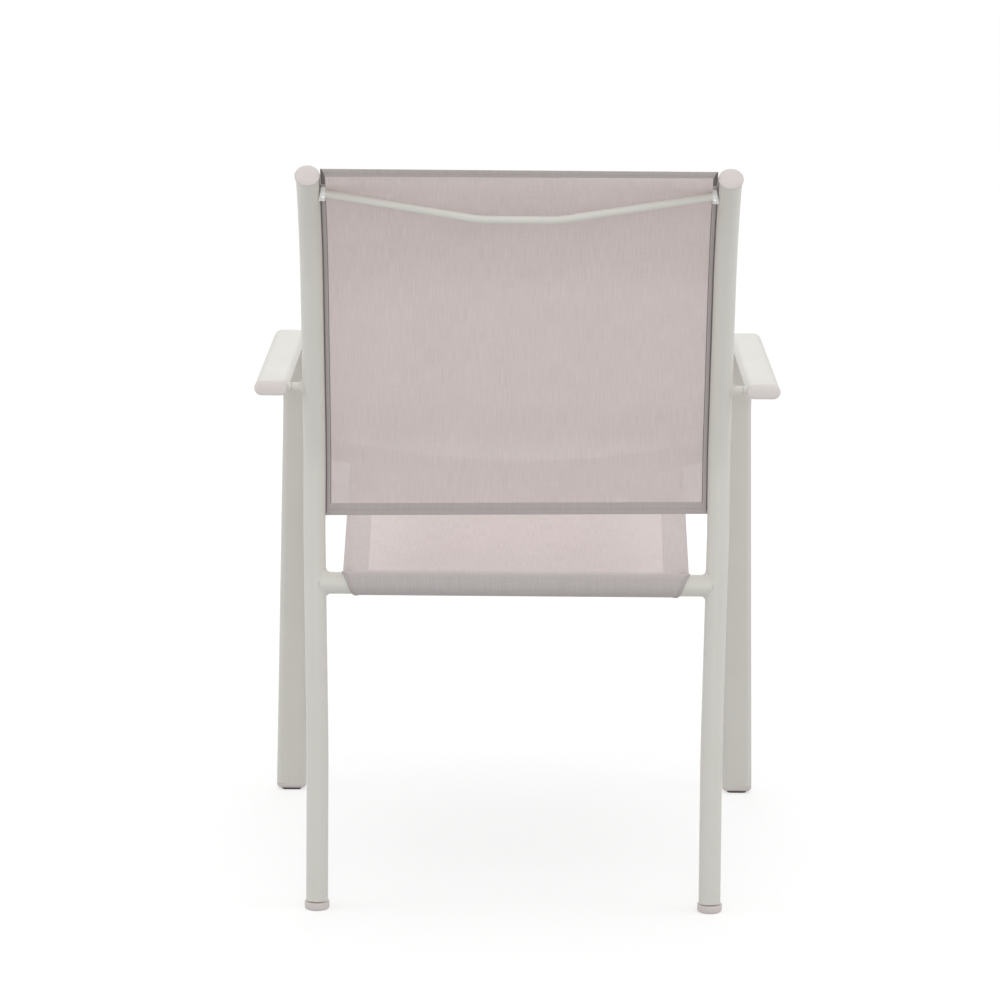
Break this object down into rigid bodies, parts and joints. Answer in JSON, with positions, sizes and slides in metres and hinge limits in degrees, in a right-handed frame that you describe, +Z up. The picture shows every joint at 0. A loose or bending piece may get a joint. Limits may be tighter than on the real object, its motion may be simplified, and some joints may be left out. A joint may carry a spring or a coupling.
{
  "type": "sling patio chair",
  "caption": "Stacking patio armchair: round rear posts hold a stretched mesh back, flat-oval tubes form arm and front leg in one, and a mesh seat is slung on rails and crossbars.",
  "frame": {"origin": "on the floor, under the centre of the chair's bounding box", "axes": "+Z up, -Y the way the sitter faces, +X the sitter's left"},
  "size_m": [0.6134, 0.6233, 0.876],
  "materials": {
    "frame_coat": "satin off-white powder coat",
    "cap_plastic": "moulded, matt, a little pinker than the frame",
    "glide_plastic": "moulded, matt, dark",
    "spacer_plastic": "moulded, matt, pale grey",
    "bracket_paint": "bright white enamel",
    "fixing_steel": "zinc plated",
    "sling_fabric": "open weave of coated yarn, warm grey, slightly see-through",
    "spline_plastic": "extruded, matt, grey"
  },
  "bodies": {
    "root": {"rear_post_left": "frame_coat", "rear_post_right": "frame_coat", "arm_and_front_leg_left": "frame_coat", "arm_and_front_leg_right": "frame_coat", "arm_stub_left": "frame_coat", "arm_stub_right": "frame_coat", "rear_crossbar": "frame_coat", "front_crossbar": "frame_coat", "seat_rail_left": "frame_coat", "seat_rail_right": "frame_coat", "spreader_rod": "frame_coat", "top_cap_left": "cap_plastic", "top_cap_right": "cap_plastic", "rear_foot_left": "cap_plastic", "rear_foot_right": "cap_plastic", "arm_cap_left": "cap_plastic", "arm_cap_right": "cap_plastic", "front_foot_plug_left": "cap_plastic", "front_foot_plug_right": "cap_plastic", "front_foot_glide_left": "glide_plastic", "front_foot_glide_right": "glide_plastic", "arm_spacer_left": "spacer_plastic", "arm_spacer_right": "spacer_plastic", "rod_bracket_left": "bracket_paint", "rod_bracket_right": "bracket_paint", "arm_bolt_left": "fixing_steel", "arm_bolt_right": "fixing_steel", "rod_pin_left": "fixing_steel", "rod_pin_right": "fixing_steel", "seat_screw_rear_1": "fixing_steel", "seat_screw_rear_2": "fixing_steel", "seat_screw_rear_3": "fixing_steel", "seat_screw_front_1": "fixing_steel", "seat_screw_front_2": "fixing_steel", "seat_screw_front_3": "fixing_steel", "seat_sling": "sling_fabric", "back_sling": "sling_fabric", "back_spline_left": "spline_plastic", "back_spline_right": "spline_plastic"}
  },
  "joints": []
}
